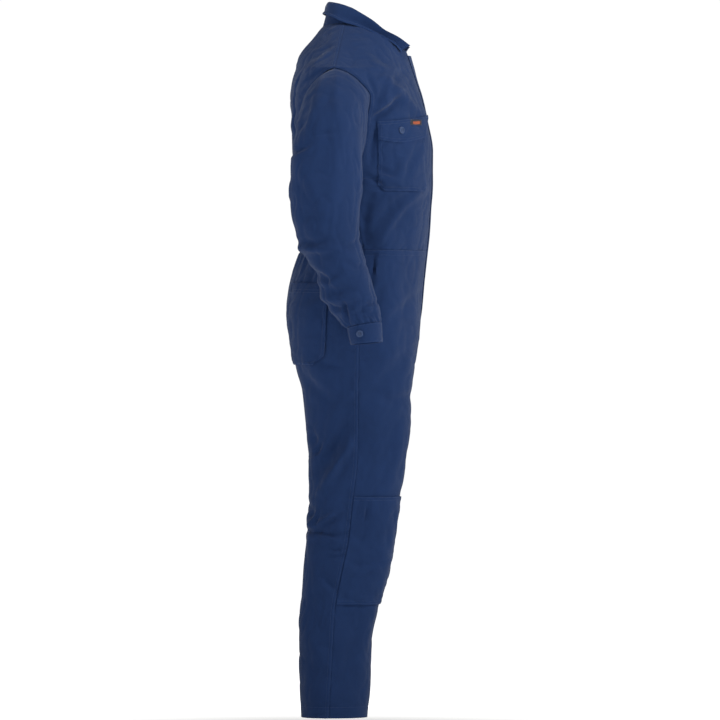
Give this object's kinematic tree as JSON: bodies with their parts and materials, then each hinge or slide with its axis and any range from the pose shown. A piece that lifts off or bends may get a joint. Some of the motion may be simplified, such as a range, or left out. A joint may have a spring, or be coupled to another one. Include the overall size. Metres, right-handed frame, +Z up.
{
  "type": "boiler suit",
  "caption": "Worn, hollow one-piece boiler suit with shirt collar, concealed front closure, long cuffed sleeves, flapped chest pockets and patched knees.",
  "frame": {"origin": "between the shoulders, level with the middle of the shoulder seams, where the wearer holds the garment up", "axes": "+Z up, -Y towards the wearer's front, +X towards the wearer's left"},
  "size_m": [0.7314, 0.3236, 1.5601],
  "materials": {
    "cloth": "matt twill with a faint sheen",
    "button": "satin",
    "tag": "woven label, plain"
  },
  "bodies": {
    "root": {"upper_front_right": "cloth", "upper_front_left": "cloth", "upper_back": "cloth", "sleeve_top_right": "cloth", "sleeve_under_right": "cloth", "sleeve_top_left": "cloth", "sleeve_under_left": "cloth", "cuff_right": "cloth", "cuff_left": "cloth", "leg_front_right": "cloth", "leg_back_right": "cloth", "leg_front_left": "cloth", "leg_back_left": "cloth", "storm_flap": "cloth", "collar_stand": "cloth", "collar_fall": "cloth", "chest_pocket_right": "cloth", "chest_flap_right": "cloth", "chest_button_right": "button", "chest_pocket_left": "cloth", "chest_flap_left": "cloth", "chest_button_left": "button", "label_tag": "tag", "cuff_button_right": "button", "cuff_button_left": "button", "rear_pocket_right": "cloth", "knee_pocket_right": "cloth", "rear_pocket_left": "cloth", "knee_pocket_left": "cloth"}
  },
  "joints": []
}
